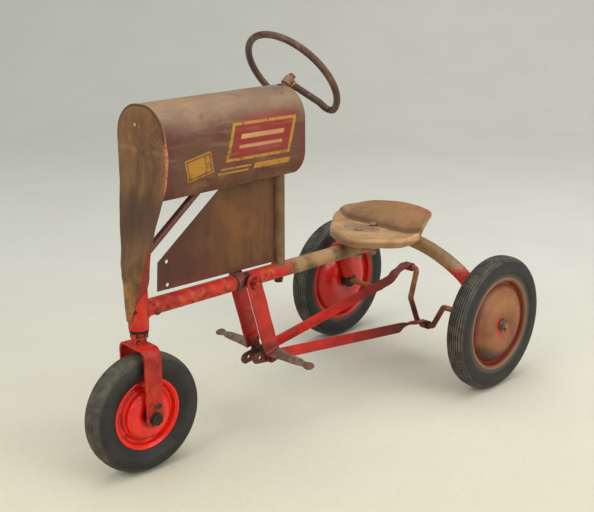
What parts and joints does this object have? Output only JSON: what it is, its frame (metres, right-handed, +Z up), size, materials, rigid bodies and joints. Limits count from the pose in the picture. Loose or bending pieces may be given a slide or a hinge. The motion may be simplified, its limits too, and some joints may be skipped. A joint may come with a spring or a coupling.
{
  "type": "pedal tractor",
  "caption": "Child's three-wheeled pedal tractor with a steered front wheel, sheet-metal hood, pan seat and bent-rod crank drive.",
  "frame": {"origin": "centre of the footprint box, on the ground under the wheels", "axes": "+Z up, the front wheel towards -Y, the tractor's left side towards +X"},
  "size_m": [0.456, 0.8859, 0.6678],
  "materials": {
    "brown_paint": "aged dark brown paint with rust",
    "dark_steel": "dark oily steel",
    "olive_paint": "aged olive brown paint with rust",
    "red_paint": "worn gloss red paint",
    "worn_steel": "worn grey-brown steel",
    "tan_patina": "bare tan patina over old paint",
    "tyre_rubber": "dusty black rubber",
    "worn_red_paint": "red paint worn through to rust"
  },
  "bodies": {
    "frame": {"head_tube": "red_paint", "head_bush": "dark_steel", "spine_tube": "worn_red_paint", "rear_arch": "tan_patina", "axle_bracket_left": "dark_steel", "axle_bracket_right": "dark_steel", "post": "brown_paint", "post_bolt": "dark_steel", "side_panel": "olive_paint", "hood": "brown_paint", "hood_stay": "dark_steel", "front_shroud": "olive_paint", "shroud_bracket": "dark_steel", "column_bearing": "dark_steel", "pivot_bolt": "red_paint", "pivot_band": "worn_steel", "pivot_spacer_left": "dark_steel", "pivot_spacer_right": "dark_steel", "seat_pan": "tan_patina", "seat_spacer_front": "dark_steel", "seat_spacer_rear": "dark_steel", "seat_bolt_front": "tan_patina", "seat_bolt_rear": "tan_patina"},
    "fork": {"fork_strap": "red_paint", "fork_stem": "worn_steel", "stem_collar": "dark_steel", "front_axle_bolt": "worn_steel", "front_axle_nut": "worn_steel", "front_spacer_left": "dark_steel", "front_spacer_right": "dark_steel"},
    "front_wheel": {"front_tyre": "tyre_rubber", "front_disc_left": "red_paint", "front_disc_right": "red_paint", "front_hub": "dark_steel"},
    "steering": {"steering_shaft": "brown_paint", "shaft_collar": "dark_steel", "steering_wheel": "brown_paint", "wheel_hub": "worn_steel"},
    "crank": {"crank_rod": "worn_red_paint", "crank_collar_left": "dark_steel", "crank_collar_right": "dark_steel", "axle_nut_left": "worn_steel", "axle_nut_right": "worn_steel"},
    "rear_wheel_left": {"rear_tyre_left": "tyre_rubber", "rear_disc_left_outer": "worn_red_paint", "rear_disc_left_inner": "red_paint", "rear_hub_left": "dark_steel"},
    "rear_wheel_right": {"rear_tyre_right": "tyre_rubber", "rear_disc_right_outer": "red_paint", "rear_disc_right_inner": "red_paint", "rear_hub_right": "dark_steel"},
    "arm_left": {"pedal_arm_left": "red_paint", "foot_peg_left": "worn_steel", "link_lug_left": "dark_steel"},
    "arm_right": {"pedal_arm_right": "red_paint", "foot_peg_right": "worn_steel", "link_lug_right": "dark_steel"},
    "drive_link_left": {"link_left": "red_paint"},
    "drive_link_right": {"link_right": "red_paint"}
  },
  "joints": [
    {"name": "fork_yaw", "type": "hinge", "parent": "frame", "child": "fork", "pos_m": [0, -0.345, 0.27], "axis": [0, 0, 1], "range_deg": [-32, 38]},
    {"name": "front_wheel_spin", "type": "hinge", "parent": "fork", "child": "front_wheel", "pos_m": [0, -0.345, 0.098], "axis": [0.9986, -0.0523, 0], "continuous": true},
    {"name": "steering_turn", "type": "hinge", "parent": "frame", "child": "steering", "pos_m": [0, -0.345, 0.336], "axis": [0, 0.788, 0.6157], "range_deg": [-32, 38]},
    {"name": "crank_turn", "type": "hinge", "parent": "frame", "child": "crank", "pos_m": [0, 0.316, 0.127], "axis": [1, 0, 0], "range_deg": [-30, 30]},
    {"name": "rear_wheel_left_spin", "type": "hinge", "parent": "crank", "child": "rear_wheel_left", "pos_m": [0.198, 0.316, 0.127], "axis": [1, 0, 0], "continuous": true},
    {"name": "rear_wheel_right_spin", "type": "hinge", "parent": "crank", "child": "rear_wheel_right", "pos_m": [-0.198, 0.316, 0.127], "axis": [1, 0, 0], "continuous": true},
    {"name": "arm_left_swing", "type": "hinge", "parent": "frame", "child": "arm_left", "pos_m": [0.023, -0.128, 0.265], "axis": [1, 0, 0], "range_deg": [-13, 13]},
    {"name": "arm_right_swing", "type": "hinge", "parent": "frame", "child": "arm_right", "pos_m": [-0.023, -0.128, 0.265], "axis": [1, 0, 0], "range_deg": [-13, 13]},
    {"name": "link_left_turn", "type": "hinge", "parent": "crank", "child": "drive_link_left", "pos_m": [0.0195, 0.3375, 0.07099], "axis": [1, 0, 0], "range_deg": [-31, 31]},
    {"name": "link_right_turn", "type": "hinge", "parent": "crank", "child": "drive_link_right", "pos_m": [-0.0195, 0.3375, 0.18302], "axis": [1, 0, 0], "range_deg": [-31, 31]}
  ],
  "couplings": [
    {"joint": "steering_turn", "follows": "fork_yaw", "ratio": 1},
    {"joint": "arm_left_swing", "follows": "crank_turn", "ratio": 0.3856},
    {"joint": "arm_right_swing", "follows": "crank_turn", "ratio": -0.3311},
    {"joint": "link_left_turn", "follows": "crank_turn", "ratio": -0.9896},
    {"joint": "link_right_turn", "follows": "crank_turn", "ratio": -0.9163}
  ]
}
